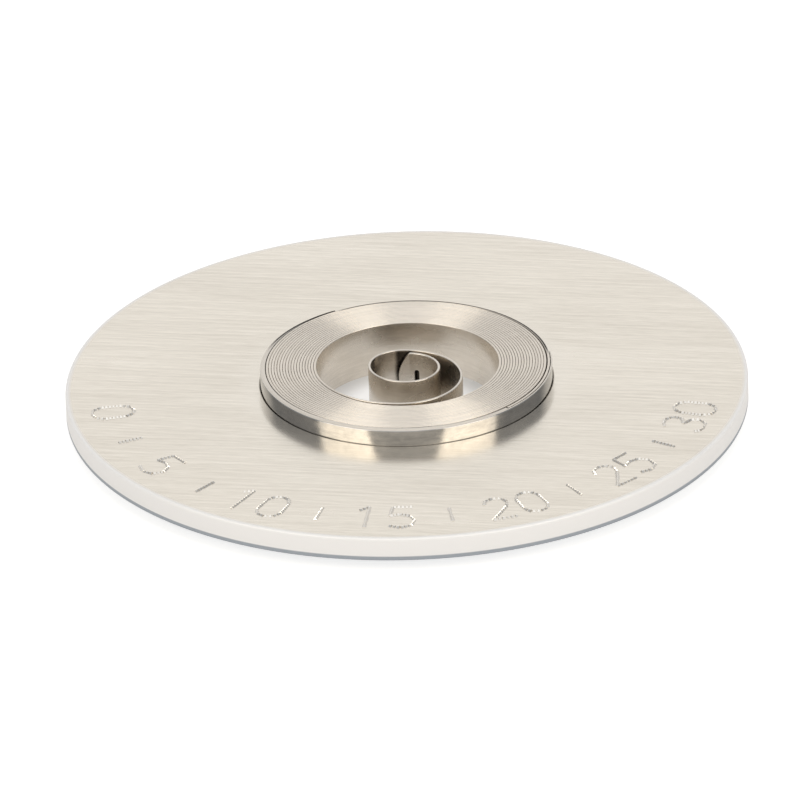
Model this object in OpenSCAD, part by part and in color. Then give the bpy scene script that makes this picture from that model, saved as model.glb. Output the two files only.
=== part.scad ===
// A watch mainspring, wound and held in its winding washer. All sizes are in millimetres.
// The origin is on the washer's axis, in the plane of the spring's lower edge, and +Z is up.
// Seen from above, the blade runs inwards counter-clockwise, from the bridle to the eye.

/* [Blade] */
// Height of the blade, from edge to edge
blade_height = 1.90; // [1.2:0.05:2.4]
// Thickness of the blade
blade_thickness = 0.085; // [0.07:0.005:0.11]
// Room between one turn and the next
turn_gap = 0.014; // [0.012:0.001:0.02]
// Number of turns that lie against each other
turns = 18; // [12:1:22]
// Radius of the hollow inside the wound turns
hollow_radius = 3.165; // [2.98:0.005:3.38]
// How far the wound turns sit towards the far side of the washer's axis
turns_offset = 0.092; // [0.05:0.001:0.12]

/* [Free coil] */
// How much tighter the free coil's first quarter turn is than the hollow
coil_draw_in = 0.10; // [0.08:0.01:0.25]
// Width of the eye that hooks on the arbor
eye_width = 0.18; // [0.12:0.02:0.24]
// Height of the eye
eye_height = 0.62; // [0.4:0.02:0.9]
// Distance from the tip of the tongue to the middle of the eye
eye_from_tip = 0.67; // [0.6:0.01:0.9]
// Length of the rounded tongue at the inner end
tongue_length = 0.44; // [0.3:0.02:0.5]

/* [Outer end] */
// How far the last turn's end lifts off the turn inside it
tail_lift = 0.03; // [0.01:0.005:0.06]
// Radius on which the blade's outer tail opens towards the bridle
tail_radius = 5.08; // [5.0:0.02:5.4]
// Angle that the outer tail runs past the last full turn
tail_sweep = 46; // [20:1:60]
// Thickness of the bridle where it is thickest
bridle_thickness = 0.22; // [0.14:0.01:0.24]
// Thickness of the bridle where it is thinnest
bridle_thin = 0.04; // [0.03:0.01:0.1]
// Room between the bridle and the wound turns at the bridle's far left end
bridle_gap = 0.02; // [0.015:0.005:0.04]
// Room outside the last turn and the outer tail, in the pocket that the bridle has for them
wedge_gap = 0.02; // [0.01:0.002:0.07]
// Bevel along the bridle's outer edges
bridle_bevel = 0.02; // [0.01:0.005:0.04]
// Angle at which the bridle begins, on the far left
bridle_start = 119; // [100:1:140]
// Angle that the bridle covers
bridle_sweep = 249; // [200:1:270]

/* [Washer] */
// Outer diameter of the winding washer
washer_diameter = 24.0; // [18:0.5:30]
// Thickness of the washer's sheet
washer_thickness = 0.85; // [0.6:0.05:1.1]
// Height of the washer's lower face above the spring's lower edge
washer_height = 0.47; // [0.2:0.01:0.7]
// Running clearance between the bridle and the washer's hole, at the radius
hole_clearance = 0.02; // [0.01:0.01:0.08]
// Radius that the blanking punch rolled over the washer's upper rim
rim_roll = 0.30; // [0.1:0.05:0.4]
// Bevel on the washer's sharp edges
burr_bevel = 0.05; // [0.02:0.01:0.1]

/* [Hidden] */

// Facets a full circle has in the preview
preview_facets = 180;
$fn = preview_facets;

// The wound turns are half circles about two centres, which lie a quarter of a pitch to each side.
pitch = blade_thickness + turn_gap;
centre_shift = pitch / 4;
first_radius = hollow_radius + blade_thickness / 2;
half_turns = 2 * turns - 1;
last_radius = first_radius + half_turns * pitch / 2;

// The turns and the bridle's bore sit off the washer's axis, the same way. It is a unit vector in round
// numbers, so that the arcs' ends meet.
thin_way = [0.28, 0.96];
turns_centre = turns_offset * thin_way;

// The last turn, and the tail that goes on from its right end
tail_start = turn_centre(half_turns) + [turn_radius(half_turns), 0];
tail_centre = tail_start - [tail_radius, 0];
last_outside = turn_radius(half_turns) + blade_thickness / 2;
tail_outside = tail_radius + blade_thickness / 2;

// How far from the washer's axis the blade reaches where the bridle begins, where it ends, and at the
// end of the tail. The farthest of them takes the bridle's least thickness, which gives its radius.
bridle_end = max(0, bridle_start + bridle_sweep - 360);
start_reach = norm(on_circle(turn_centre(half_turns), last_outside, bridle_start)) + bridle_gap;
end_reach = norm(on_circle(turn_centre(half_turns), last_outside, bridle_end)) + wedge_gap;
tail_reach = norm(on_circle(tail_centre, tail_outside, -tail_sweep)) + wedge_gap;
bridle_radius = round(1000 * (max(start_reach, end_reach, tail_reach) + bridle_thin)) / 1000;
hole_radius = bridle_radius + hole_clearance;

// The bore clears the turns where the bridle begins, and leaves its full thickness on the near side.
bridle_shift = (start_reach - bridle_radius + bridle_thickness)
    / (1 + thin_way * [cos(bridle_start), sin(bridle_start)]);
bridle_bore = bridle_radius - bridle_thickness + bridle_shift;

// Radii of the free coil's arcs, from the wound turns to the eye. Each is a quarter turn, but the last
// stops where the tongue's corners are, and runs on to the tip of the tongue.
coil_radii = [hollow_radius - coil_draw_in, 2.07, 2.08, 1.14, 1.34, 1.10, 1.12];
coil_count = len(coil_radii);
corner_sweep = 83;
tongue_radius = coil_radii[coil_count - 1];
tongue_sweep = tongue_length / tongue_radius * 180 / PI;
tongue_chord = 2 * tongue_radius * sin(tongue_sweep / 2);
tip_round = (pow(blade_height / 2, 2) + pow(tongue_chord, 2)) / (2 * tongue_chord);
eye_back = eye_from_tip / tongue_radius * 180 / PI;

// How far a cutting shape runs past what it cuts
past = 0.3;
// How far the eye's and the tongue's cuts reach to each side of the blade, short of the next turn
cut_reach = blade_thickness;
// Angle that the bridle's pocket runs past the end of the tail
pocket_past = 0.6;

// Odd half turns are the far ones and even half turns the near ones, counted from the hollow. The last
// one opens a little, so that its right end lifts off the turn inside it.
function far_half(k) = k % 2 == 1;
function turn_lift(k) = k == half_turns ? tail_lift / 2 : 0;
function turn_centre(k) = turns_centre + [(far_half(k) ? centre_shift : -centre_shift) + turn_lift(k), 0];
function turn_start(k) = far_half(k) ? 0 : 180;
function turn_radius(k) = first_radius + k * pitch / 2 + turn_lift(k);
function on_circle(centre, radius, angle) = centre + radius * [cos(angle), sin(angle)];

// The innermost half turn ends at the left, and the free coil goes on from there.
function coil_angle(i) = 180 + 90 * i;
function coil_sweep(i) = i == coil_count - 1 ? corner_sweep + tongue_sweep : 90;
function coil_start(i) =
    i == 0 ? turn_centre(1) - [turn_radius(1), 0]
           : coil_centre(i - 1) + coil_radii[i - 1] * quarter_way(i);
function coil_centre(i) = coil_start(i) - coil_radii[i] * quarter_way(i);
function quarter_way(i) = [[-1, 0], [0, -1], [1, 0], [0, 1]][i % 4];

// Length of the blade along its middle, for the echo below
function sum(values, i = 0) = i == len(values) ? 0 : values[i] + sum(values, i + 1);
function arc_length(radius, angle) = radius * angle * PI / 180;
blade_length =
    sum([for (k = [1 : half_turns]) arc_length(turn_radius(k), 180)])
    + sum([for (i = [0 : coil_count - 1]) arc_length(coil_radii[i], coil_sweep(i))])
    + arc_length(tail_radius, tail_sweep);

// Points along the middle of the blade, from which its least gap to itself is measured
gap_step = 6;
turn_points = [
    for (k = [1 : half_turns])
        [for (a = [0 : gap_step : 180]) on_circle(turn_centre(k), turn_radius(k), turn_start(k) + a)]
];
coil_points = [
    for (i = [0 : coil_count - 1])
        for (a = [0 : gap_step : coil_sweep(i)]) on_circle(coil_centre(i), coil_radii[i], coil_angle(i) + a)
];
quarter_loop = round(90 / gap_step);
turn_gaps = [
    for (k = [0 : half_turns - 3])
        for (i = [0 : len(turn_points[k]) - 1]) norm(turn_points[k + 2][i] - turn_points[k][i])
];
coil_gaps = [
    for (i = [0 : len(coil_points) - 1])
        for (j = [i + 2 * quarter_loop : len(coil_points) - 1]) norm(coil_points[j] - coil_points[i])
];
echo(blade_length_mm = blade_length);
echo(least_gap_of_wound_turns_mm = min(turn_gaps) - blade_thickness);
echo(least_gap_of_free_coil_mm = min(coil_gaps) - blade_thickness);
echo(hole_radius_mm = hole_radius, bridle_radius_mm = bridle_radius);

// The blade's cross-section, standing on z = 0 with its middle at x = 0
module blade_section() {
    translate([-blade_thickness / 2, 0]) square([blade_thickness, blade_height]);
}

// One tangent arc of the blade
module blade_arc(centre, radius, start, sweep) {
    translate([centre.x, centre.y, 0])
        rotate([0, 0, start])
            rotate_extrude(angle = sweep)
                translate([radius, 0]) blade_section();
}

module wound_turns() {
    for (k = [1 : half_turns])
        blade_arc(turn_centre(k), turn_radius(k), turn_start(k), 180);
}

// The outer tail opens further from the turn inside it, and lies in the bridle's pocket.
module outer_tail() {
    translate([tail_centre.x, tail_centre.y, 0])
        mirror([0, 1, 0])
            blade_arc([0, 0], tail_radius, 0, tail_sweep);
}

module free_coil() {
    for (i = [0 : coil_count - 1])
        blade_arc(coil_centre(i), coil_radii[i], coil_angle(i), coil_sweep(i));
}

// What is cut off the last arc, which leaves a tongue with a round tip
module tongue_corners() {
    centre = coil_centre(coil_count - 1);
    translate([centre.x, centre.y, blade_height / 2])
        rotate([0, 0, coil_angle(coil_count - 1) + corner_sweep + tongue_sweep / 2])
            difference() {
                translate([tongue_radius - cut_reach, -tongue_chord / 2, -blade_height / 2 - past])
                    cube([2 * cut_reach, tongue_chord + past, blade_height + 2 * past]);
                translate([tongue_radius - 2 * cut_reach, tongue_chord / 2 - tip_round, 0])
                    rotate([0, 90, 0])
                        cylinder(r = tip_round, h = 4 * cut_reach);
            }
}

// The eye is a tall slot with round ends, cut square through the blade.
module eye() {
    centre = coil_centre(coil_count - 1);
    straight = eye_height - eye_width;
    translate([centre.x, centre.y, blade_height / 2])
        rotate([0, 0, coil_angle(coil_count - 1) + corner_sweep + tongue_sweep - eye_back])
            translate([tongue_radius - cut_reach, 0, 0]) {
                translate([0, -eye_width / 2, -straight / 2])
                    cube([2 * cut_reach, eye_width, straight]);
                for (z = [-straight / 2, straight / 2])
                    translate([0, 0, z])
                        rotate([0, 90, 0])
                            cylinder(d = eye_width, h = 2 * cut_reach);
            }
}

module mainspring_blade() {
    color("silver")
        difference() {
            union() {
                wound_turns();
                outer_tail();
                free_coil();
            }
            tongue_corners();
            eye();
        }
}

// The bridle lies round the turns. Its bore is off centre, so it thins towards both ends, and on the
// near right a pocket in the bore takes the last turn's end and the tail.
module bridle() {
    color("lightgray")
        difference() {
            rotate([0, 0, bridle_start])
                rotate_extrude(angle = bridle_sweep)
                    bridle_section();
            translate([bridle_shift * thin_way.x, bridle_shift * thin_way.y, -past])
                cylinder(r = bridle_bore, h = blade_height + 2 * past);
            tail_pocket();
        }
}

module tail_pocket() {
    translate([turn_centre(half_turns).x, turn_centre(half_turns).y, 0])
        rotate_extrude(angle = 90)
            pocket_section(last_outside);
    translate([tail_centre.x, tail_centre.y, 0])
        mirror([0, 1, 0])
            rotate_extrude(angle = tail_sweep + pocket_past)
                pocket_section(tail_outside);
}

module pocket_section(reach) {
    translate([reach - bridle_thickness, -past])
        square([bridle_thickness + wedge_gap, blade_height + 2 * past]);
}

module bridle_section() {
    inner = bridle_radius - bridle_thickness - past;
    polygon([
        [inner, 0], [bridle_radius - bridle_bevel, 0], [bridle_radius, bridle_bevel],
        [bridle_radius, blade_height - bridle_bevel], [bridle_radius - bridle_bevel, blade_height],
        [inner, blade_height]
    ]);
}

// The washer is punched from sheet: a rolled upper rim, and a small bevel on every other edge.
module winding_washer() {
    color("gainsboro")
        translate([0, 0, washer_height])
            rotate_extrude()
                washer_section();
}

module washer_section() {
    rim = washer_diameter / 2;
    polygon([
        [hole_radius + burr_bevel, 0], [rim - burr_bevel, 0], [rim, burr_bevel],
        [rim, washer_thickness - rim_roll], [rim - rim_roll, washer_thickness - rim_roll],
        [rim - rim_roll, washer_thickness], [hole_radius + burr_bevel, washer_thickness],
        [hole_radius, washer_thickness - burr_bevel], [hole_radius, burr_bevel]
    ]);
    intersection() {
        translate([rim - rim_roll, washer_thickness - rim_roll]) circle(r = rim_roll);
        translate([rim - rim_roll, washer_thickness - rim_roll]) square(rim_roll);
    }
}

winding_washer();
mainspring_blade();
bridle();
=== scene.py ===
"""A watch mainspring, wound and held in its winding washer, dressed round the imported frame.

Sizes are in millimetres in the classes and become metres when a mesh is written. The origin is on
the washer's axis in the plane of the spring's lower edge, +Z is up, and the blade runs inwards
counter-clockwise seen from above.
"""

import logging
import math
from dataclasses import dataclass, field
from enum import Enum

import bmesh
import bpy
from mathutils import Matrix, Quaternion, Vector

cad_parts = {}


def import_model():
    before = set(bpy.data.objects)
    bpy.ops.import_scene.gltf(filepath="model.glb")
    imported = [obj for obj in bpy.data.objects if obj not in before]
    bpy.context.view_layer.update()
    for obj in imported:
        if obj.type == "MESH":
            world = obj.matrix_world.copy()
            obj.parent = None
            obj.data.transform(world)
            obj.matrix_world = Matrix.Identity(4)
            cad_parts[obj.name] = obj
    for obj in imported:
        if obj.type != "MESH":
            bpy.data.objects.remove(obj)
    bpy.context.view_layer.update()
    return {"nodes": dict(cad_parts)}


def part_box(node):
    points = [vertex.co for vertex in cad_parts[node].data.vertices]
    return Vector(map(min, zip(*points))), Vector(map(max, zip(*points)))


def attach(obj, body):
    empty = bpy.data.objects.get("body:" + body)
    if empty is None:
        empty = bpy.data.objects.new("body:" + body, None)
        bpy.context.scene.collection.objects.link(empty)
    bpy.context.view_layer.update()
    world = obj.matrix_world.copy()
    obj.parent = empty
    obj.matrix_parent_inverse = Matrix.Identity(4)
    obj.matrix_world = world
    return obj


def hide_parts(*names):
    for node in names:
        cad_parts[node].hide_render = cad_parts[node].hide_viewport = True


LOG = logging.getLogger("mainspring")
MM = 0.001
TURNS_CENTRE = (0.02576, 0.08832)

Point = tuple[float, float]
Color = tuple[float, float, float]
Socket = bpy.types.NodeSocket


class Body(Enum):
    """The bodies of the model that pieces ride on."""

    SPRING = "spring"
    WASHER = "washer"


class Slot(Enum):
    """The record's material slots."""

    WASHER = "washer"
    BLADE = "blade"
    BRIDLE = "bridle"


@dataclass(frozen=True)
class Grain:
    """One layer of noise in a finish, in marks per millimetre along each axis."""

    marks: tuple[float, float, float]
    detail: float
    seed: float


@dataclass(frozen=True)
class PaintedShade:
    """Painted shade that darkens a piece beyond a radius, within a box.

    Attributes:
        centre: Where the upright axis of the radius stands.
        inner: Radius at which the painted shade starts. Under 0, it lies at every radius.
        outer: Radius from which it shows in full.
        across: The box's range along X.
        depth: Its range along Y.
        fade: How softly it ends along X, Y and Z.
        height: Its range along Z.
        color: The painted shade's colour.
        strength: How much of it shows at most.
    """

    centre: Point
    inner: float
    outer: float
    across: Point
    depth: Point
    fade: tuple[float, float, float]
    height: Point = (-9.0, 9.0)
    color: Color = (0.030, 0.024, 0.019)
    strength: float = 0.95


@dataclass(frozen=True)
class Zone:
    """A part of a piece whose finish differs.

    It fades in from start to end, which are radii or heights in millimetres, or tell how far the
    surface faces one way, from 0 to 1.
    """

    color: Color
    rough: float
    start: float
    end: float
    strength: float = 1.0


@dataclass(frozen=True)
class MetalFinish:
    """A bare metal with a grain, fine glints, cloudy wear and a little relief.

    Attributes:
        shares: How much the grain, the glints and the clouds each add to the colour.
        tilt: How far the grain is turned about Z, in degrees.
        rim: Zone beyond a radius.
        foot: Zone under a height.
        collar: Zone within a radius.
        worn_and_lit_top: Zone that faces up, faint on the free coil, with a sheen along the strip. It is
            lighter
        for the ground edges, and painted lighter as light from above.
        painted_side_shade: Zone that faces along X, to either side, painted darker as shade.
        scatter: How much less than fully metallic the surface is.
        matte: How much less again it is in the rim zone.
        smudge: Where grease dulls the metal.
        smudged: How strongly it does.
    """

    name: str
    dull: Color
    bright: Color
    smooth: float
    rough: float
    grain: Grain
    glint: Grain
    cloud: Grain
    shares: tuple[float, float, float]
    relief: float
    tilt: float = 0.0
    rim: Zone | None = None
    foot: Zone | None = None
    collar: Zone | None = None
    worn_and_lit_top: Zone | None = None
    painted_side_shade: Zone | None = None
    scatter: float = 0.0
    matte: float = 0.0
    smudge: Grain | None = None
    smudged: float = 0.12
    # Patches of painted shade laid over the colour.
    painted_shades: tuple[PaintedShade, ...] = ()


WASHER_FINISH = MetalFinish(
    name="brushed_aluminium",
    dull=(0.672, 0.619, 0.538),
    bright=(0.883, 0.828, 0.737),
    smooth=0.19,
    rough=0.28,
    grain=Grain(marks=(0.25, 7.5, 3.0), detail=4.0, seed=3.0),
    glint=Grain(marks=(1.6, 9.0, 6.0), detail=2.0, seed=31.0),
    cloud=Grain(marks=(0.12, 0.5, 0.4), detail=3.0, seed=11.0),
    shares=(0.42, 0.24, 0.34),
    relief=0.0006,
    tilt=-9.0,
    rim=Zone(color=(0.81, 0.80, 0.795), rough=0.60, start=11.78, end=11.95),
    foot=Zone(color=(0.32, 0.35, 0.39), rough=0.5, start=0.66, end=0.61),
    collar=Zone(color=(0.815, 0.765, 0.685), rough=0.12, start=6.3, end=5.35, strength=0.42),
    scatter=0.09,
    matte=0.60,
)
STRUCK_FINISH = MetalFinish(
    name="struck_aluminium",
    dull=(0.84, 0.80, 0.74),
    bright=(0.95, 0.92, 0.87),
    smooth=0.08,
    rough=0.16,
    grain=Grain(marks=(4.0, 4.0, 4.0), detail=2.0, seed=51.0),
    glint=Grain(marks=(9.0, 9.0, 9.0), detail=2.0, seed=53.0),
    cloud=Grain(marks=(0.6, 0.6, 0.6), detail=2.0, seed=57.0),
    shares=(0.35, 0.30, 0.35),
    relief=0.0010,
    # Painted shade on the sides of the pin marks that face along X.
    painted_side_shade=Zone(color=(0.62, 0.59, 0.55), rough=0.35, start=0.36, end=0.62, strength=0.9),
)
BLADE_FINISH = MetalFinish(
    name="mainspring_steel",
    dull=(0.54, 0.493, 0.43),
    bright=(0.728, 0.677, 0.608),
    smooth=0.20,
    rough=0.31,
    grain=Grain(marks=(1.2, 1.2, 14.0), detail=4.0, seed=5.0),
    glint=Grain(marks=(5.0, 5.0, 7.0), detail=3.0, seed=41.0),
    cloud=Grain(marks=(0.6, 0.6, 0.9), detail=2.0, seed=17.0),
    shares=(0.34, 0.08, 0.58),
    relief=0.0006,
    smudge=Grain(marks=(1.6, 1.6, 1.0), detail=3.0, seed=61.0),
    # Up-facing strip edges: lighter as ground edges, and painted lighter as light from above.
    worn_and_lit_top=Zone(color=(0.955, 0.89, 0.805), rough=0.70, start=0.60, end=0.93, strength=0.85),
    painted_shades=(
        # Painted shade along the outer edge of the outermost turn, on the far side only.
        PaintedShade(
            centre=(0.06551, 0.08832),
            inner=4.915,
            outer=4.940,
            across=(-2.6, 9.0),
            depth=(0.35, 9.0),
            fade=(0.7, 0.7, 0.1),
        ),
        # Painted shade on the blade seen through the eye.
        PaintedShade(
            centre=(0.39, 0.95),
            inner=-0.2,
            outer=-0.1,
            across=(0.22, 0.60),
            depth=(0.93, 1.9),
            fade=(0.02, 0.02, 0.02),
            height=(0.1, 1.7),
        ),
        # Painted shadow on the coil's inner wall just behind the tongue.
        PaintedShade(
            centre=(0.0, 0.0),
            inner=-0.2,
            outer=-0.1,
            across=(-0.44, 0.30),
            depth=(0.95, 1.18),
            fade=(0.18, 0.03, 0.1),
            height=(-1.0, 1.92),
            strength=0.9,
        ),
    ),
)
BRIDLE_FINISH = MetalFinish(
    name="bridle_steel",
    dull=(0.34, 0.332, 0.318),
    bright=(0.58, 0.555, 0.52),
    smooth=0.03,
    rough=0.09,
    grain=Grain(marks=(1.0, 1.0, 9.0), detail=3.0, seed=7.0),
    glint=Grain(marks=(4.0, 4.0, 5.0), detail=3.0, seed=43.0),
    cloud=Grain(marks=(0.7, 0.7, 1.2), detail=4.0, seed=23.0),
    shares=(0.30, 0.30, 0.40),
    relief=0.0003,
    smudge=Grain(marks=(1.3, 1.3, 1.6), detail=6.0, seed=67.0),
    # Up-facing edges: lighter as ground edges, and painted lighter as light from above.
    worn_and_lit_top=Zone(color=(0.85, 0.785, 0.70), rough=0.66, start=0.60, end=0.93, strength=0.85),
    painted_shades=(
        # Painted shade along the outer edge of the bridle, on the far left.
        PaintedShade(
            centre=(0.0, 0.0),
            inner=5.030,
            outer=5.055,
            across=(-4.95, -2.0),
            depth=(0.4, 9.0),
            fade=(0.5, 0.5, 0.1),
        ),
        # Painted darker, bluish reflection on the near left and right of the bridle's outer wall.
        *(
            PaintedShade(
                centre=(0.0, 0.0),
                inner=5.105,
                outer=5.125,
                across=across,
                depth=depth,
                fade=(0.6, 1.5, 0.1),
                color=(0.10, 0.115, 0.14),
                strength=0.42,
            )
            for across, depth in (((-5.15, -2.45), (-5.2, -0.9)), ((2.5, 5.15), (-5.2, -0.7)))
        ),
    ),
)


class NodeMaker:
    """Adds linked nodes to a node tree."""

    def __init__(self, tree: bpy.types.NodeTree) -> None:
        """Empties the tree.

        Args:
            tree: The tree that the nodes go into.
        """
        self.tree = tree
        tree.nodes.clear()

    def feed(self, target: Socket, given: object) -> None:
        """Links an output to an input, or sets the input to a plain value.

        Args:
            target: The input.
            given: The output or the value.
        """
        if isinstance(given, Socket):
            self.tree.links.new(given, target)
        else:
            target.default_value = given

    def node(
        self, kind: str, inputs: dict[str | int, object] | None = None, **values: object
    ) -> bpy.types.Node:
        """Adds a node.

        Args:
            kind: The node's type name.
            inputs: What feeds its inputs, by name or number.
            values: Properties to set on it.

        Returns:
            The new node.
        """
        made = self.tree.nodes.new(kind)
        for name, value in values.items():
            setattr(made, name, value)
        for key, given in (inputs or {}).items():
            self.feed(made.inputs[key], given)
        return made

    def calc(self, operation: str, a: Socket | float, b: Socket | float) -> Socket:
        """Adds a sum on two values.

        Args:
            operation: What is done with them.
            a: The first value.
            b: The second value.

        Returns:
            The result.
        """
        return self.node("ShaderNodeMath", {0: a, 1: b}, operation=operation).outputs["Value"]

    def ramp(
        self,
        value: Socket,
        edge: Point,
        result: tuple[float, Socket | float] = (0.0, 1.0),
        unit: float = 1.0,
        kind: str = "SMOOTHSTEP",
    ) -> Socket:
        """Goes from one level to another while a value crosses a range.

        Args:
            value: The value.
            edge: Where the way starts and ends.
            result: The two levels.
            unit: Size of the edge's unit.
            kind: How the way runs.

        Returns:
            The level.
        """
        start, end = edge
        low, high = result
        ends = {"From Min": start * unit, "From Max": end * unit, "To Min": low, "To Max": high}
        made = self.node("ShaderNodeMapRange", {"Value": value, **ends}, interpolation_type=kind)
        return made.outputs["Result"]

    def blend(self, mask: Socket, under: Socket | Color, over: Color | float) -> Socket:
        """Puts a colour or a value over another where a mask shows.

        Args:
            mask: The mask, from 0 to 1.
            under: What shows where the mask is 0.
            over: What shows where the mask is 1.

        Returns:
            The blend.
        """
        mix = self.node("ShaderNodeMix", data_type="FLOAT" if isinstance(over, float) else "RGBA")
        targets = [s for s in mix.inputs if s.enabled]
        for target, given in zip(targets, (mask, under, over)):
            self.feed(target, (*given, 1.0) if isinstance(given, tuple) else given)
        return [s for s in mix.outputs if s.enabled][0]


class Dresser(NodeMaker):
    """Makes a finish as a node material.

    Attributes:
        COIL_SHARE: How much of the up-facing zone, with its painted light, shows on the free coil.
        TURNS_EDGE: Radii between which the free coil gives way to the wound turns.
        LEAST_TURN: How much of the up-facing zone shows on a wound turn at least.
        STRIP_SHEEN: How drawn out the up-facing zone's sheen is, and STRIP_TURN which way.
    """

    NOISE_MIDDLE = (0.3, 0.7)
    SMUDGE_EDGE = (0.56, 0.70)
    SMUDGE_COLOR = (0.90, 0.85, 0.78)
    SMUDGE_ROUGH = 0.45
    COIL_SHARE = 0.16
    TURNS_EDGE = (3.0, 3.2)
    TURN_MARKS = 6.0
    TURN_DETAIL = 2.0
    LEAST_TURN = 0.72
    STRIP_SHEEN = 0.95
    STRIP_TURN = 0.25

    def __init__(self, finish: MetalFinish) -> None:
        """Starts an empty material.

        Args:
            finish: The finish that it shows.
        """
        self.finish = finish
        self.material = bpy.data.materials.new(finish.name)
        self.material.use_nodes = True
        super().__init__(self.material.node_tree)
        self.brushed: Socket | None = None
        self.bare: Socket | float = 1.0 - finish.scatter

    def noise(self, grain: Grain) -> Socket:
        """Adds one layer of noise on Object coordinates.

        Args:
            grain: How fine the noise is along each axis.

        Returns:
            The noise's value, from 0 to 1.
        """
        place = self.node("ShaderNodeTexCoord").outputs["Object"]
        turn = {"Vector": place, "Angle": math.radians(-self.finish.tilt)}
        turned = self.node("ShaderNodeVectorRotate", turn, rotation_type="Z_AXIS").outputs["Vector"]
        marks = {"Vector": turned, "Scale": [m / MM for m in grain.marks], "Location": [grain.seed] * 3}
        mapped = self.node("ShaderNodeMapping", marks).outputs["Vector"]
        layer = {"Vector": mapped, "Scale": 1.0, "Detail": grain.detail}
        return self.node("ShaderNodeTexNoise", layer).outputs["Fac"]

    def spread(self, value: Socket, low: float, high: float) -> Socket:
        """Maps the middle of a noise's range to low to high.

        Args:
            value: The noise.
            low: Result where the noise is weak.
            high: Result where the noise is strong.

        Returns:
            The mapped value.
        """
        return self.ramp(value, self.NOISE_MIDDLE, (low, high), kind="LINEAR")

    def place(self, centre: Point = (0.0, 0.0)) -> tuple[Socket, bpy.types.Node]:
        """Adds the way from an upright axis to the point shaded.

        Args:
            centre: Where the axis stands, in millimetres.

        Returns:
            The distance from the axis, and a node with the way's X and Y and the height in Z.
        """
        kind = "ShaderNodeVectorMath"
        spot = self.node("ShaderNodeTexCoord").outputs["Object"]
        foot = (centre[0] * MM, centre[1] * MM, 0.0)
        way = self.node(kind, {0: spot, 1: foot}, operation="SUBTRACT").outputs["Vector"]
        flat = self.node(kind, {0: way, 1: (1.0, 1.0, 0.0)}, operation="MULTIPLY").outputs["Vector"]
        reach = self.node(kind, {0: flat}, operation="LENGTH").outputs["Value"]
        return reach, self.node("ShaderNodeSeparateXYZ", {"Vector": way})

    def masks(self) -> list[tuple[Zone, Socket, float]]:
        """Finds what the finish's zones fade along.

        Returns:
            Each zone, the value that it fades along and that value's unit.
        """
        finish = self.finish
        normal = self.node("ShaderNodeNewGeometry").outputs["Normal"]
        facing = self.node("ShaderNodeSeparateXYZ", {"Vector": normal}).outputs
        found = []
        # Faces turned up: ground edges, painted lighter as light from above.
        if finish.worn_and_lit_top:
            found.append((finish.worn_and_lit_top, facing["Z"], 1.0))
        # Faces turned along X: painted shade.
        if finish.painted_side_shade:
            other = self.calc("MULTIPLY", facing["X"], -1.0)
            found.append((finish.painted_side_shade, self.calc("MAXIMUM", facing["X"], other), 1.0))
        for zone in (finish.rim, finish.collar):
            if zone:
                found.append((zone, self.place()[0], MM))
        if finish.foot:
            found.append((finish.foot, self.place()[1].outputs["Z"], MM))
        return found

    def zones(self, colour: Socket, rough: Socket) -> tuple[Socket, Socket]:
        """Lays the finish's zones, smudges and patches of painted shade over its colour and roughness.

        Args:
            colour: The plain finish's colour.
            rough: Its roughness.

        Returns:
            The colour and the roughness with everything on them.
        """
        finish = self.finish
        for zone, value, unit in self.masks():
            mask = self.ramp(value, (zone.start, zone.end), (0.0, zone.strength), unit)
            if zone is finish.worn_and_lit_top:
                mask = self.calc("MULTIPLY", mask, self.calc("MAXIMUM", self.ring(), self.COIL_SHARE))
                self.brushed = mask
            if zone is finish.rim:
                self.bare = self.calc("SUBTRACT", self.bare, self.calc("MULTIPLY", mask, finish.matte))
            colour = self.blend(mask, colour, zone.color)
            rough = self.blend(mask, rough, zone.rough)
        if finish.smudge:
            mask = self.ramp(self.noise(finish.smudge), self.SMUDGE_EDGE, (0.0, finish.smudged))
            colour = self.blend(mask, colour, self.SMUDGE_COLOR)
            rough = self.blend(mask, rough, self.SMUDGE_ROUGH)
        # Painted shade darkens the colour in each patch.
        for shade_patch in finish.painted_shades:
            colour = self.blend(self.oil(shade_patch), colour, shade_patch.color)
        return colour, rough

    def ring(self) -> Socket:
        """Tells the wound turns from the free coil.

        Returns:
            1 on the wound turns, a little less on some of them, and 0 on the free coil.
        """
        reach, _ = self.place(TURNS_CENTRE)
        marks = {"W": reach, "Scale": self.TURN_MARKS / MM, "Detail": self.TURN_DETAIL}
        uneven = self.node("ShaderNodeTexNoise", marks, noise_dimensions="1D").outputs["Fac"]
        share = self.spread(uneven, self.LEAST_TURN, 1.0)
        return self.calc("MULTIPLY", share, self.ramp(reach, self.TURNS_EDGE, unit=MM))

    # Masks a patch of painted shade.
    def oil(self, shade_patch: PaintedShade) -> Socket:
        """Adds the mask of a patch of painted shade.

        Args:
            shade_patch: Where the painted shade lies.

        Returns:
            How much of the painted shade shows, from 0 to 1.
        """
        reach, way = self.place(shade_patch.centre)
        mask = self.ramp(reach, (shade_patch.inner, shade_patch.outer), (0.0, shade_patch.strength), MM)
        sides = zip("XYZ", (shade_patch.across, shade_patch.depth, shade_patch.height), (*shade_patch.centre, 0.0), shade_patch.fade)
        for axis, (low, high), middle, fade in sides:
            low, high = low - middle, high - middle
            for edge in ((low, low + fade), (high, high - fade)):
                mask = self.calc("MULTIPLY", mask, self.ramp(way.outputs[axis], edge, unit=MM))
        return mask

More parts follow.
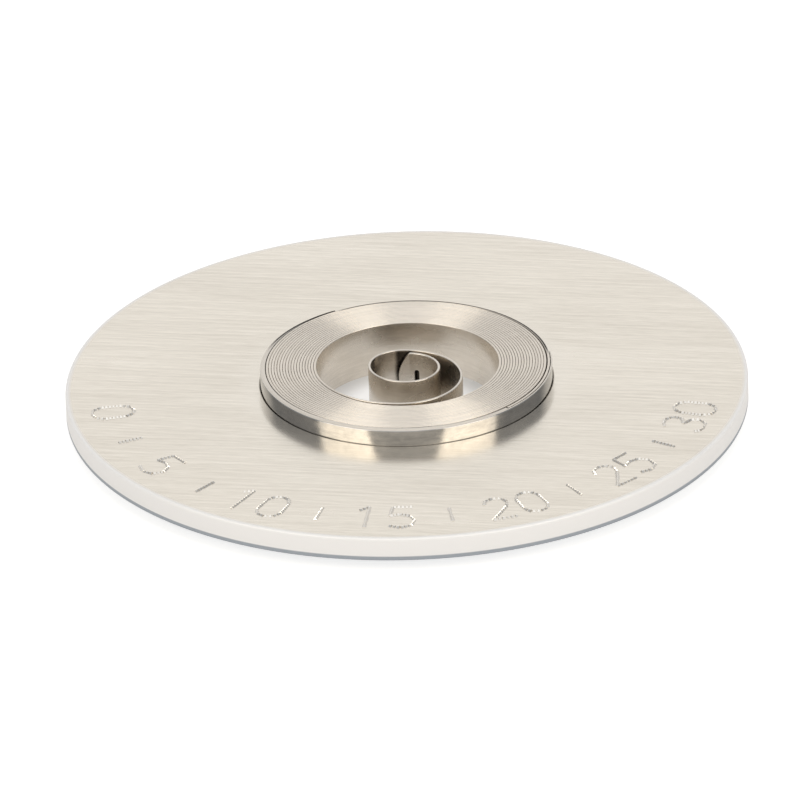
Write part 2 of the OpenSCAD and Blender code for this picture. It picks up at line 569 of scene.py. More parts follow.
    def dress(self) -> bpy.types.Material:
        """Links the layers into a metal shader.

        Returns:
            The finished material.
        """
        finish = self.finish
        layers = [self.noise(g) for g in (finish.grain, finish.glint, finish.cloud)]
        grain, _, cloud = layers
        total = self.spread(grain, 0.0, finish.shares[0])
        for layer, share in zip(layers[1:], finish.shares[1:]):
            total = self.calc("ADD", total, self.spread(layer, 0.0, share))
        plain = self.blend(total, finish.dull, finish.bright)
        colour, rough = self.zones(plain, self.spread(cloud, finish.smooth, finish.rough))
        relief = {"Strength": 1.0, "Distance": finish.relief * MM, "Height": grain}
        normal = self.node("ShaderNodeBump", relief).outputs["Normal"]
        look = {"Metallic": self.bare, "Base Color": colour, "Roughness": rough, "Normal": normal}
        if self.brushed:
            strip = self.node("ShaderNodeTangent", direction_type="RADIAL", axis="Z")
            look["Anisotropic"] = self.calc("MULTIPLY", self.brushed, self.STRIP_SHEEN)
            look["Anisotropic Rotation"] = self.STRIP_TURN
            look["Tangent"] = strip.outputs["Tangent"]
        metal = self.node("ShaderNodeBsdfPrincipled", look)
        self.node("ShaderNodeOutputMaterial", {"Surface": metal.outputs["BSDF"]})
        return self.material


class FormTree(NodeMaker):
    """A geometry tree that makes a real mesh with a finish."""

    def __init__(self, name: str, source: str, numbers: tuple[str, ...], result: str) -> None:
        """Starts the tree with its inputs and its output.

        Args:
            name: The tree's name.
            source: Name of the geometry that goes in.
            numbers: Names of the numbers that go in.
            result: Name of the geometry that comes out.
        """
        super().__init__(bpy.data.node_groups.new(name, "GeometryNodeTree"))
        face = self.tree.interface
        face.new_socket(source, in_out="INPUT", socket_type="NodeSocketGeometry")
        for label in numbers:
            face.new_socket(label, in_out="INPUT", socket_type="NodeSocketFloat")
        face.new_socket("Finish", in_out="INPUT", socket_type="NodeSocketMaterial")
        face.new_socket(result, in_out="OUTPUT", socket_type="NodeSocketGeometry")
        self.given = self.node("NodeGroupInput").outputs

    def end(self, shape: Socket) -> None:
        """Makes instances real, lays the finish on and sends the mesh out.

        Args:
            shape: The shape.
        """
        real = self.node("GeometryNodeRealizeInstances", {"Geometry": shape}).outputs["Geometry"]
        finish = {"Geometry": real, "Material": self.given["Finish"]}
        dressed = self.node("GeometryNodeSetMaterial", finish).outputs["Geometry"]
        self.node("NodeGroupOutput", {0: dressed})

    def run(self, source: bpy.types.Object, values: dict[str, object]) -> None:
        """Puts the tree on an object as a modifier.

        Args:
            source: The object.
            values: What goes into the inputs.
        """
        form = source.modifiers.new(self.tree.name, "NODES")
        form.node_group = self.tree
        for item in self.tree.interface.items_tree:
            if item.in_out == "INPUT" and item.name in values:
                form[item.identifier] = values[item.name]


def new_object(
    name: str, data: bpy.types.ID, material: bpy.types.Material | None = None
) -> bpy.types.Object:
    """Puts a mesh, a light or a camera in the scene.

    Args:
        name: The object's name.
        data: The mesh, light or camera.
        material: A mesh's finish, if it has one yet.

    Returns:
        The new object.
    """
    made = bpy.data.objects.new(name, data)
    bpy.context.scene.collection.objects.link(made)
    if material:
        data.materials.clear()
        data.materials.append(material)
    return made


def bake(source: bpy.types.Object, name: str, material: bpy.types.Material) -> bpy.types.Object:
    """Turns an object's modifiers into a plain mesh.

    Args:
        source: The object with live modifiers, which is removed.
        name: Name of the result.
        material: Finish of the result.

    Returns:
        The plain object.
    """
    graph = bpy.context.evaluated_depsgraph_get()
    mesh = bpy.data.meshes.new_from_object(source.evaluated_get(graph))
    bpy.data.objects.remove(source)
    mesh.name = name
    return new_object(name, mesh, material)


def shade(piece: bpy.types.Object, angle: float = 35.0) -> None:
    """Shades a piece smooth, with creases at sharp edges.

    Args:
        piece: The object.
        angle: Edges over this angle, in degrees, stay sharp.
    """
    mesh = piece.data
    mesh.shade_smooth()
    mesh.set_sharp_from_angle(angle=math.radians(angle))


def loft(name: str, stations: list[list[Vector]], closed: bool) -> bpy.types.Mesh:
    """Skins a row of closed sections, in millimetres.

    Args:
        name: The mesh's name.
        stations: The sections, each with the same number of points.
        closed: Whether the last section joins the first. If not, both ends are capped.

    Returns:
        The closed mesh, in metres, with its faces outwards.
    """
    shape = bmesh.new()
    rings = [[shape.verts.new(p * MM) for p in ring] for ring in stations]
    count = len(rings)
    for i in range(count if closed else count - 1):
        a, b = rings[i], rings[(i + 1) % count]
        for j in range(len(a)):
            k = (j + 1) % len(a)
            shape.faces.new((a[j], a[k], b[k], b[j]))
    if not closed:
        shape.faces.new(rings[0])
        shape.faces.new(reversed(rings[-1]))
    bmesh.ops.recalc_face_normals(shape, faces=shape.faces)
    mesh = bpy.data.meshes.new(name)
    shape.to_mesh(mesh)
    shape.free()
    return mesh


def station(section: list[Point], turn: float) -> list[Vector]:
    """A section of radii and heights, turned about the washer's axis by an angle in radians."""
    return [Vector((r * math.cos(turn), r * math.sin(turn), z)) for r, z in section]


def on_circle(centre: Point, radius: float, angle: float) -> Point:
    """The point of a circle in a direction that is given in degrees."""
    turn = math.radians(angle)
    return (centre[0] + radius * math.cos(turn), centre[1] + radius * math.sin(turn))


def corner(centre: Point, radius: float, start: float, steps: int) -> list[Point]:
    """Points of a quarter circle, counter-clockwise.

    Args:
        centre: The corner's centre.
        radius: Its radius.
        start: Its first angle, in degrees.
        steps: Its number of segments.

    Returns:
        The points.
    """
    return [on_circle(centre, radius, start + 90.0 * i / steps) for i in range(steps + 1)]


def rounded_box(low: Point, high: Point, radii: tuple[float, float, float, float], steps: int) -> list[Point]:
    """Outline of a box with round corners, counter-clockwise from the lower left.

    Args:
        low: Lower left corner.
        high: Upper right corner.
        radii: Radii of the lower left, lower right, upper right and upper left corners.
        steps: Segments in each corner.

    Returns:
        The outline.
    """
    a, b, c, d = radii
    return (
        corner((low[0] + a, low[1] + a), a, 180.0, steps)
        + corner((high[0] - b, low[1] + b), b, 270.0, steps)
        + corner((high[0] - c, high[1] - c), c, 0.0, steps)
        + corner((low[0] + d, high[1] - d), d, 90.0, steps)
    )


@dataclass
class WindingWasher:
    """The flat washer that holds the wound spring."""

    hole_radius: float = 5.155
    rim_roll: float = 0.08
    rim_foot: float = 0.06
    hole_edge: float = 0.05
    corner_steps: int = 8
    stations: int = 480

    def build(self, material: bpy.types.Material) -> bpy.types.Object:
        """Turns the washer's section about its axis.

        Args:
            material: The brushed finish.

        Returns:
            The washer, on the washer's body.
        """
        low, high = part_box("winding_washer")
        section = rounded_box(
            (self.hole_radius, low[2] / MM),
            (high[0] / MM, high[2] / MM),
            (self.hole_edge, self.rim_foot, self.rim_roll, self.hole_edge),
            self.corner_steps,
        )
        turns = [2.0 * math.pi * i / self.stations for i in range(self.stations)]
        rings = [station(section, turn) for turn in turns]
        piece = new_object("washer_disc", loft("washer_disc", rings, closed=True), material)
        shade(piece)
        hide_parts("winding_washer")
        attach(piece, Body.WASHER.value)
        return piece


@dataclass(frozen=True)
class Arc:
    """A counter-clockwise arc in the plane, in millimetres and degrees."""

    centre: Point
    radius: float
    start: float
    sweep: float

    def points(self, step: float) -> list[Point]:
        """Points along the arc, without its first.

        Args:
            step: Greatest angle between points, in degrees.

        Returns:
            The points.
        """
        count = max(2, math.ceil(self.sweep / step))
        angles = [self.start + self.sweep * i / count for i in range(1, count + 1)]
        return [on_circle(self.centre, self.radius, angle) for angle in angles]

    def reach(self, angle: float) -> float:
        """Distance from the origin to the arc's whole circle.

        Args:
            angle: The direction, in degrees.

        Returns:
            The distance, in millimetres.
        """
        turn = math.radians(angle)
        along = self.centre[0] * math.cos(turn) + self.centre[1] * math.sin(turn)
        return along + math.sqrt(self.radius**2 - math.hypot(*self.centre) ** 2 + along**2)


@dataclass
class MainspringBlade:
    """The strip of spring steel: outer tail, wound turns, free coil, tongue and eye."""

    thickness: float = 0.085
    gap: float = 0.014
    oil: float = 0.004
    turns: int = 18
    hollow_radius: float = 3.165
    turns_centre: Point = TURNS_CENTRE
    tail_lift: float = 0.03
    tail_radius: float = 5.08
    tail_sweep: float = 46.0
    coil_radii: tuple[float, ...] = (3.065, 2.07, 2.08, 1.14, 1.34, 1.10, 1.12)
    corner_sweep: float = 83.0
    tongue: float = 0.44
    eye_from_tip: float = 0.67
    eye_size: Point = (0.18, 0.62)
    edge_round: float = 0.028
    edge_steps: int = 3
    eye_steps: int = 8
    tongue_steps: int = 24
    cut_past: float = 0.2
    turn_step: float = 3.0
    coil_step: float = 2.0
    height: float = field(init=False)

    def __post_init__(self) -> None:
        """Takes the blade's height from the frame."""
        low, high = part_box("mainspring_blade")
        self.height = (high[2] - low[2]) / MM

    @property
    def tongue_sweep(self) -> float:
        """Angle of the tongue on the last arc, in degrees."""
        return math.degrees(self.tongue / self.coil_radii[-1])

    def half_turn(self, k: int) -> Arc:
        """One half turn of the wound blade. The outermost one opens a little.

        Args:
            k: Its number, counted outwards from the hollow.

        Returns:
            Its middle line.
        """
        pitch = self.thickness + self.gap
        far = k % 2 == 1
        lift = self.tail_lift / 2.0 if k == 2 * self.turns - 1 else 0.0
        shift = pitch / 4.0 if far else -pitch / 4.0
        centre = (self.turns_centre[0] + shift + lift, self.turns_centre[1])
        radius = self.hollow_radius + self.thickness / 2.0 + k * pitch / 2.0 + lift
        return Arc(centre, radius, 0.0 if far else 180.0, 180.0)

    def coil(self) -> list[Arc]:
        """Bends the free coil inwards from the innermost wound turn.

        Returns:
            Its quarter turns, the last one with the tongue.
        """
        first = self.half_turn(1)
        place = (first.centre[0] - first.radius, first.centre[1])
        ways = ((-1.0, 0.0), (0.0, -1.0), (1.0, 0.0), (0.0, 1.0))
        arcs = []
        for i, radius in enumerate(self.coil_radii):
            way, onward = ways[i % 4], ways[(i + 1) % 4]
            centre = (place[0] - radius * way[0], place[1] - radius * way[1])
            last = i == len(self.coil_radii) - 1
            sweep = self.corner_sweep + self.tongue_sweep if last else 90.0
            arcs.append(Arc(centre, radius, 180.0 + 90.0 * i, sweep))
            place = (centre[0] + radius * onward[0], centre[1] + radius * onward[1])
        return arcs

    def path(self) -> list[Point]:
        """Joins the blade's arcs to its middle line.

        Returns:
            The line's points, from the outer tail inwards to the tip of the tongue.
        """
        count = 2 * self.turns - 1
        outer = self.half_turn(count)
        tail_centre = (outer.centre[0] + outer.radius - self.tail_radius, outer.centre[1])
        tail = Arc(tail_centre, self.tail_radius, -self.tail_sweep, self.tail_sweep)
        points = [on_circle(tail.centre, tail.radius, tail.start)]
        for arc in [tail] + [self.half_turn(k) for k in range(count, 0, -1)]:
            points += arc.points(self.turn_step)
        for arc in self.coil():
            points += arc.points(self.coil_step)
        return points

    def sweep_tree(self) -> FormTree:
        """Makes a tree that sweeps a round-edged strip along a line of edges.

        Returns:
            The tree.
        """
        form = FormTree("sweep_strip", "Line", ("Thickness", "Height", "Edge Round"), "Strip")
        given = form.given
        line = form.node("GeometryNodeMeshToCurve", {"Mesh": given["Line"]}).outputs["Curve"]
        upright = form.node("GeometryNodeSetCurveNormal", {"Curve": line}, mode="Z_UP")
        sides = {"Width": given["Thickness"], "Height": given["Height"]}
        section = form.node("GeometryNodeCurvePrimitiveQuadrilateral", sides).outputs["Curve"]
        edges = {"Curve": section, "Count": self.edge_steps, "Radius": given["Edge Round"]}
        profile = form.node("GeometryNodeFilletCurve", edges, mode="POLY").outputs["Curve"]
        ways = {"Curve": upright.outputs["Curve"], "Profile Curve": profile, "Fill Caps": True}
        form.end(form.node("GeometryNodeCurveToMesh", ways).outputs["Mesh"])
        return form

    def cutter(self, name: str, outline: list[Point], angle: float) -> bpy.types.Object:
        """A prism that cuts radially through the last arc.

        Args:
            name: The cutter's name.
            outline: Its outline along the blade and upwards, from the blade's mid-height.
            angle: Where on the last arc its outline is centred, in degrees.

        Returns:
            The cutter.
        """
        arc = self.coil()[-1]
        way = Matrix.Rotation(math.radians(angle), 3, "Z")
        base = Vector((arc.centre[0], arc.centre[1], self.height / 2.0))
        depths = (arc.radius - self.thickness, arc.radius + self.thickness)
        rings = [[base + way @ Vector((depth, s, z)) for s, z in outline] for depth in depths]
        return new_object(name, loft(name, rings, closed=False))

    def tongue_outline(self) -> list[Point]:
        """Outlines what is cut away round the tongue.

        Returns:
            The outline of a box with the round tip left out of it.
        """
        radius = self.coil_radii[-1]
        chord = 2.0 * radius * math.sin(math.radians(self.tongue_sweep) / 2.0)
        half = self.height / 2.0
        tip = (half**2 + chord**2) / (2.0 * chord)
        reach = math.asin(half / tip)
        steps = self.tongue_steps
        edge = [reach - 2.0 * reach * i / steps for i in range(steps + 1)]
        curve = [(chord / 2.0 - tip + tip * math.cos(a), tip * math.sin(a)) for a in edge]
        past = self.cut_past
        return [(-chord / 2.0, half + past)] + curve + [
            (-chord / 2.0, -half - past),
            (chord / 2.0 + past, -half - past),
            (chord / 2.0 + past, half + past),
        ]

    def eye_outline(self) -> list[Point]:
        """Outlines the eye.

        Returns:
            The outline of a tall slot with round ends.
        """
        width, height = self.eye_size
        half, round_ = (width / 2.0, height / 2.0), width / 2.0
        return rounded_box((-half[0], -half[1]), half, (round_,) * 4, self.eye_steps)

    def build(self, material: bpy.types.Material) -> bpy.types.Object:
        """Sweeps the blade, then cuts its tongue and eye.

        Args:
            material: The spring steel finish.

        Returns:
            The blade, on the spring's body.
        """
        points = self.path()
        line = bpy.data.meshes.new("blade_line")
        middle = self.height / 2.0
        steps = [(i, i + 1) for i in range(len(points) - 1)]
        line.from_pydata([Vector((x, y, middle)) * MM for x, y in points], steps, [])
        source = new_object("blade_line", line)
        sizes = {
            "Thickness": (self.thickness + 2.0 * self.oil) * MM,
            "Height": self.height * MM,
            "Edge Round": self.edge_round * MM,
            "Finish": material,
        }
        self.sweep_tree().run(source, sizes)
        strip = bake(source, "blade_strip", material)

        start = self.coil()[-1].start + self.corner_sweep
        tip = start + self.tongue_sweep
        eye_back = math.degrees(self.eye_from_tip / self.coil_radii[-1])
        cutters = [
            self.cutter("tongue_cut", self.tongue_outline(), start + self.tongue_sweep / 2.0),
            self.cutter("eye_cut", self.eye_outline(), tip - eye_back),
        ]
        for tool in cutters:
            cut = strip.modifiers.new(tool.name, "BOOLEAN")
            cut.operation = "DIFFERENCE"
            cut.solver = "EXACT"
            cut.object = tool
        piece = bake(strip, "spring_blade", material)
        for tool in cutters:
            bpy.data.objects.remove(tool)
        shade(piece)
        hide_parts("mainspring_blade")
        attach(piece, Body.SPRING.value)
        return piece


@dataclass
class Bridle:
    """The thicker outer strip that lies round the turns, with a pocket for the blade's tail.

    Attributes:
        turn_side: Direction, in degrees, from which the pocket follows the last turn.
        edge_share: Greatest edge radius, as a share of the strip's thickness there.
    """

    radius: float = 5.135
    bore: Arc = Arc((0.0301, 0.1031), 4.9825, 119.0, 249.0)
    turn_pocket: Arc = Arc((0.06551, 0.08832), 5.0175, 0.0, 90.0)
    tail_pocket: Arc = Arc((-0.05949, 0.08832), 5.1425, -46.4, 46.4)
    turn_side: float = 361.0
    edge_round: float = 0.036
    edge_share: float = 0.4
    edge_steps: int = 3
    step: float = 1.0

    def inner_radius(self, angle: float, pocket: bool) -> float:
        """Distance from the washer's axis to the bridle's inner face.

        Args:
            angle: The direction, in degrees.
            pocket: Whether the pocket is there.

        Returns:
            The distance, in millimetres.
        """
        reaches = [self.bore.reach(angle)]
        if pocket:
            side = self.turn_pocket if angle >= self.turn_side else self.tail_pocket
            reaches.append(side.reach(angle))
        return max(reaches)

    def build(self, material: bpy.types.Material) -> bpy.types.Object:
        """Lofts the bridle round the turns.

        Args:
            material: The bridle's steel finish.

        Returns:
            The bridle, on the spring's body.
        """
        low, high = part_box("bridle")
        start = self.bore.start
        end = start + self.bore.sweep
        step_at = 360.0 + self.tail_pocket.start
        stations = []
        for first, last, pocket in ((start, step_at, False), (step_at, end, True)):
            count = math.ceil((last - first) / self.step)
            stations += [(first + (last - first) * i / count, pocket) for i in range(count + 1)]
        rings = []
        for angle, pocket in stations:
            inner = self.inner_radius(angle, pocket)
            edge = min(self.edge_round, self.edge_share * (self.radius - inner))
            low_corner, high_corner = (inner, low[2] / MM), (self.radius, high[2] / MM)
            section = rounded_box(low_corner, high_corner, (edge,) * 4, self.edge_steps)
            rings.append(station(section, math.radians(angle)))
        piece = new_object("outer_bridle", loft("outer_bridle", rings, closed=False), material)
        shade(piece)
        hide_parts("bridle")
        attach(piece, Body.SPRING.value)
        return piece


@dataclass
class StampedScale:
    """Plain numerals and ticks, pin-stamped as on a dial along the washer's near edge.

    Attributes:
        ridge: The flat ridge's length and width, as shares of the mark's.
        sizes: How small and how large a mark may be, as a share of the usual one.
        crease: Angle, in degrees, over which an edge stays sharp.
    """

    radius: float = 10.45
    first_angle: float = 190.0
    angle_step: float = 25.0
    labels: tuple[str, ...] = ("0", "5", "10", "15", "20", "25", "30")
    height: float = 1.50
    width: float = 0.86
    space: float = 0.34
    tick: float = 0.80
    mark_step: float = 0.135
    mark_length: float = 0.095
    mark_width: float = 0.135
    mark_height: float = 0.052
    ridge: Point = (0.62, 0.16)
    sizes: Point = (0.8, 1.15)
    size_seed: int = 4
    crease: float = 20.0

    # Strokes of the numerals used, on a grid 2 wide and 4 high.
    STROKES = {
        "0": [
            [(1, 4), (0.35, 3.75), (0, 3), (0, 1), (0.35, 0.25), (1, 0)],
            [(1, 0), (1.65, 0.25), (2, 1), (2, 3), (1.65, 3.75), (1, 4)],
        ],
        "1": [[(0.2, 3.2), (1, 4), (1, 0)]],
        "2": [[(0, 3), (0.3, 3.75), (1, 4), (1.7, 3.75), (2, 3), (1.7, 2.2), (0, 0), (2, 0)]],
        "3": [
            [(0, 3.5), (0.5, 3.9), (1.2, 4), (1.85, 3.5), (1.8, 2.6), (1, 2.1)],
            [(1, 2.1), (1.8, 1.7), (2, 0.9), (1.6, 0.2), (0.9, 0), (0.3, 0.15), (0, 0.6)],
        ],
        "5": [
            [(1.9, 4), (0.2, 4), (0, 2.3), (0.8, 2.6), (1.6, 2.3), (2, 1.4), (1.7, 0.4), (0.9, 0), (0, 0.4)],
        ],
    }

    def dots(self, stroke: list[Point]) -> list[tuple[float, float, float]]:
        """Spaces marks evenly along a stroke.

        Args:
            stroke: The stroke, on the numerals' grid.

        Returns:
            Each mark's place in millimetres on the flat, and the stroke's direction there.
        """
        scale = (self.width / 2.0, self.height / 4.0)
        flat = [(x * scale[0], y * scale[1]) for x, y in stroke]
        points = []
        for (ax, ay), (bx, by) in zip(flat, flat[1:]):
            count = max(1, round(math.hypot(bx - ax, by - ay) / self.mark_step))
            way = math.atan2(by - ay, bx - ax)
            shares = [(i + 0.5) / count for i in range(count)]
            points += [(ax + (bx - ax) * s, ay + (by - ay) * s, way) for s in shares]
        return points

    def places(self) -> list[tuple[float, float, float]]:
        """Lays the numerals and the ticks between them round the washer's near side.

        Returns:
            Each mark's place in millimetres, and how far it is turned about Z.
        """
        struck = []
        for n, label in enumerate(self.labels):
            middle = math.radians(self.first_angle + n * self.angle_step)
            total = len(label) * self.width + (len(label) - 1) * self.space
            for i, digit in enumerate(label):
                left = i * (self.width + self.space) - total / 2.0
                for stroke in self.STROKES[digit]:
                    for x, y, way in self.dots(stroke):
                        a = middle + (left + x) / self.radius
                        r = self.radius + self.height / 2.0 - y
                        struck.append((r * math.cos(a), r * math.sin(a), a + math.pi / 2.0 + way))
            if n + 1 < len(self.labels):
                a = middle + math.radians(self.angle_step) / 2.0
                count = round(self.tick / self.mark_step)
                for i in range(count + 1):
                    r = self.radius - self.tick / 2.0 + self.tick * i / count
                    struck.append((r * math.cos(a), r * math.sin(a), a))
        return struck

    def dent(self) -> bpy.types.Mesh:
        """Makes one mark.

        Returns:
            The roof of metal that the punch threw up, with a narrow flat ridge.
        """
        foot = (self.mark_length, self.mark_width, 0.0)
        ridge = (self.ridge[0] * self.mark_length, self.ridge[1] * self.mark_width, self.mark_height)
        corners = ((-0.5, -0.5), (0.5, -0.5), (0.5, 0.5), (-0.5, 0.5))
        rings = [[Vector((x * a, y * b, z)) for x, y in corners] for a, b, z in (foot, ridge)]
        return loft("pin_mark", rings, closed=False)

    def strike_tree(self, mark: bpy.types.Object) -> FormTree:
        """Makes a tree that puts a pin mark on every point.

        Args:
            mark: The pin mark.

        Returns:
            The tree.
        """
        form = FormTree("strike_marks", "Points", ("Least Size", "Greatest Size"), "Marks")
        given = form.given
        shape = form.node("GeometryNodeObjectInfo", {"Object": mark}).outputs["Geometry"]
        turn = form.node("GeometryNodeInputNamedAttribute", {"Name": "turn"}, data_type="FLOAT_VECTOR")
        sizes = {2: given["Least Size"], 3: given["Greatest Size"], "Seed": self.size_seed}
        size = form.node("FunctionNodeRandomValue", sizes).outputs[1]
        marks = {"Points": given["Points"], "Instance": shape, "Scale": size}
        marks["Rotation"] = [s for s in turn.outputs if s.enabled][0]
        form.end(form.node("GeometryNodeInstanceOnPoints", marks).outputs["Instances"])
        return form

    def build(self, material: bpy.types.Material) -> bpy.types.Object:
        """Strikes the scale into the washer's upper face.

        Args:
            material: The finish of the struck metal.

        Returns:
            The marks, on the washer's body.
        """
        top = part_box("winding_washer")[1][2]
        points = bpy.data.meshes.new("pin_places")
        places = self.places()
        points.from_pydata([(x * MM, y * MM, top) for x, y, _ in places], [], [])
        turns = points.attributes.new("turn", "FLOAT_VECTOR", "POINT")
        turns.data.foreach_set("vector", [v for _, _, way in places for v in (0.0, 0.0, way)])
        source = new_object("pin_places", points)
        mark = new_object("pin_mark", self.dent())
        values = {"Least Size": self.sizes[0], "Greatest Size": self.sizes[1], "Finish": material}
        self.strike_tree(mark).run(source, values)
        piece = bake(source, "stamped_scale", material)
        bpy.data.objects.remove(mark)
        shade(piece, self.crease)
        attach(piece, Body.WASHER.value)
        return piece


@dataclass
class Studio:
    """The pale floor, the soft lights and the photograph's camera.

    Attributes:
        floor_lift: Light that the floor adds for the camera.
        floor_glow: Light that it adds in reflections.
        shade_edge: Radii between which the hollow's floor darkens, and shade_levels how far.
        open_floor: Radii between which the floor gets its full light again.
        room_least: Light from every part of the room, and wall_start where a wall's rise begins.
        boxes: Each softbox's direction and width, in degrees.
    """

    elevation: float = 26.783
    roll: float = -1.9065
    distance: float = 307.8
    lens: float = 394.05
    sensor: float = 36.0
    clip: Point = (0.01, 10.0)
    centre_px: Point = (406.55, 379.2)
    frame_px: float = 800.0
    floor_size: float = 1200.0
    floor_tone: Color = (0.612, 0.60, 0.578)
    floor_lift: float = 0.68
    floor_glow: float = 0.45
    shade_edge: Point = (2.0, 3.2)
    shade_levels: Point = (0.78, 0.30)
    open_floor: Point = (4.4, 5.0)
    room_least: float = 0.5
    wall_start: float = 0.05
    back_level: float = 0.985
    back_edge: Point = (0.35, 0.80)
    front_level: float = 0.76
    front_edge: Point = (-0.45, -0.80)
    top_level: float = 1.10
    top_edge: Point = (0.78, 0.93)
    side_tint: Color = (0.94, 0.99, 1.06)
    box_distance: float = 200.0
    box_height: float = 150.0
    box_glow: float = 2.28
    box_color: Color = (1.0, 0.94, 0.84)
    boxes: tuple[Point, ...] = ((219.6, 39.0), (318.5, 42.0))

    def shown_ray(self, paint: NodeMaker) -> Socket:
        """Tells which rays see the floor's own light.

        Args:
            paint: Where the nodes go.

        Returns:
            1 for camera, glossy and transmission rays, and else 0.
        """
        rays = paint.node("ShaderNodeLightPath").outputs
        either = paint.calc("MAXIMUM", rays["Is Camera Ray"], rays["Is Glossy Ray"])
        return paint.calc("MAXIMUM", either, rays["Is Transmission Ray"])

    def shade(self, paint: NodeMaker) -> Socket:
        """Shades the floor inside the spring's hollow.

        Args:
            paint: Where the nodes go.

        Returns:
            A share that falls towards the spring's foot in the hollow, and is 1 outside the spring.
        """
        spot = paint.node("ShaderNodeNewGeometry").outputs["Position"]
        reach = paint.node("ShaderNodeVectorMath", {0: spot}, operation="LENGTH").outputs["Value"]
        inside = paint.ramp(reach, self.shade_edge, self.shade_levels, MM)
        return paint.calc("MAXIMUM", inside, paint.ramp(reach, self.open_floor, unit=MM))

    def floor(self) -> None:
        """Lays the pale floor, which shows white and keeps the object's shadow."""
        half = self.floor_size / 2.0 * MM
        corners = [(x * half, y * half, 0.0) for x, y in ((-1, -1), (1, -1), (1, 1), (-1, 1))]
        mesh = bpy.data.meshes.new("floor")
        mesh.from_pydata(corners, [], [(0, 1, 2, 3)])
        material = bpy.data.materials.new("pale_floor")
        material.use_nodes = True
        paint = NodeMaker(material.node_tree)
        pale = paint.node("ShaderNodeBsdfDiffuse", {"Color": (*self.floor_tone, 1.0)})
        camera = paint.node("ShaderNodeLightPath").outputs["Is Camera Ray"]
        seen = paint.calc("MULTIPLY", self.shade(paint), self.floor_lift)
        level = paint.ramp(camera, (0.0, 1.0), (self.floor_glow, seen), kind="LINEAR")
        strength = paint.calc("MULTIPLY", self.shown_ray(paint), level)
        lift = paint.node("ShaderNodeEmission", {"Strength": strength})
        both = paint.node("ShaderNodeAddShader", {0: pale.outputs["BSDF"], 1: lift.outputs["Emission"]})
        paint.node("ShaderNodeOutputMaterial", {"Surface": both.outputs["Shader"]})
        new_object("floor", mesh, material)

    def room(self) -> None:
        """Lights the object from a room with a pale back wall and ceiling, and darker sides."""
        world = bpy.data.worlds.new("studio_room")
        bpy.context.scene.world = world
        world.use_nodes = True
        paint = NodeMaker(world.node_tree)
        place = paint.node("ShaderNodeTexCoord").outputs["Generated"]
        way = paint.node("ShaderNodeSeparateXYZ", {"Vector": place}).outputs
        total = self.room_least
        for axis, edge, level in (
            ("Y", self.back_edge, self.back_level),
            ("Y", self.front_edge, self.front_level),
            ("Z", self.top_edge, self.top_level),
        ):
            total = paint.calc("MAXIMUM", paint.ramp(way[axis], edge, (self.wall_start, level)), total)
        camera = paint.node("ShaderNodeLightPath").outputs["Is Camera Ray"]
        strength = paint.blend(camera, total, 1.0)
        share = paint.ramp(strength, (self.wall_start, self.front_level), kind="LINEAR")
        tint = paint.blend(share, self.side_tint, (1.0, 1.0, 1.0))
        air = paint.node("ShaderNodeBackground", {"Strength": strength, "Color": tint})
        paint.node("ShaderNodeOutputWorld", {"Surface": air.outputs["Background"]})

    def stand(self, data: bpy.types.ID, spot: Vector, turn: Quaternion) -> bpy.types.Object:
        """Stands a light or the camera in its place.

        Args:
            data: The light or the camera.
            spot: Its place.
            turn: How it is turned.

        Returns:
            Its object.
        """
        holder = new_object(data.name, data)
        holder.location = spot
        holder.rotation_mode = "QUATERNION"
        holder.rotation_quaternion = turn
        return holder

    def softboxes(self) -> None:
        """Hangs a softbox to each side of the camera."""
        rise = math.radians(self.elevation)
        for i, (azimuth, spread) in enumerate(self.boxes):
            turn = math.radians(azimuth)
            way = Vector((math.cos(turn) * math.cos(rise), math.sin(turn) * math.cos(rise), math.sin(rise)))
            lamp = bpy.data.lights.new(f"softbox_{i}", "AREA")
            lamp.shape = "RECTANGLE"
            lamp.size = 2.0 * self.box_distance * MM * math.tan(math.radians(spread) / 2.0)
            lamp.size_y = self.box_height * MM
            lamp.energy = self.box_glow * math.pi * lamp.size * lamp.size_y
            lamp.color = self.box_color
            holder = self.stand(lamp, way * self.box_distance * MM, way.to_track_quat("Z", "Y"))
            holder.visible_camera = False

    def camera(self) -> None:
        """Sets the camera where the photograph was taken from."""
        lens = bpy.data.cameras.new("camera")
        lens.lens = self.lens
        lens.sensor_width = self.sensor
        lens.shift_x = (self.frame_px / 2.0 - self.centre_px[0]) / self.frame_px
        lens.shift_y = (self.centre_px[1] - self.frame_px / 2.0) / self.frame_px
        lens.clip_start, lens.clip_end = self.clip
        rise = math.radians(self.elevation)
        aim = Vector((0.0, 0.0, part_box("winding_washer")[1][2]))
        spot = aim + Vector((0.0, -math.cos(rise), math.sin(rise))) * self.distance * MM
        tilt = Matrix.Rotation(math.pi / 2.0 - rise, 4, "X")
        turn = tilt @ Matrix.Rotation(math.radians(self.roll), 4, "Z")
        bpy.context.scene.camera = self.stand(lens, spot, turn.to_quaternion())

    def build(self) -> None:
        """Sets up everything round the object."""
        self.floor()
        self.room()
        self.softboxes()
        self.camera()
        bpy.context.scene.view_settings.view_transform = "Standard"


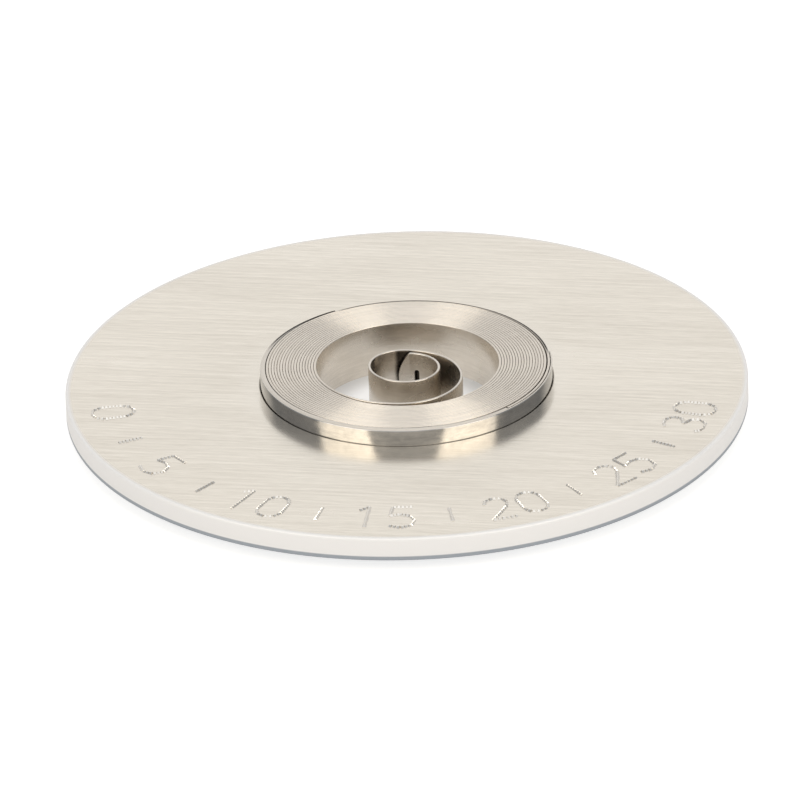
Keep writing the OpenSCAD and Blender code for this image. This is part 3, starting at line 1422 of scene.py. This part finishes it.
def main() -> None:
    """Builds the dressed mainspring in order and reports each piece."""
    logging.basicConfig(level=logging.INFO, format="%(name)s: %(message)s")
    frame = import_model()
    LOG.info("frame with nodes %s", sorted(frame["nodes"]))
    metals = (WASHER_FINISH, STRUCK_FINISH, BLADE_FINISH, BRIDLE_FINISH)
    finishes = {metal.name: Dresser(metal).dress() for metal in metals}
    pieces = [
        WindingWasher().build(finishes[WASHER_FINISH.name]),
        MainspringBlade().build(finishes[BLADE_FINISH.name]),
        Bridle().build(finishes[BRIDLE_FINISH.name]),
        StampedScale().build(finishes[STRUCK_FINISH.name]),
    ]
    for piece in pieces:
        LOG.info("%s has %d faces", piece.name, len(piece.data.polygons))
    Studio().build()


if __name__ == "__main__":
    main()
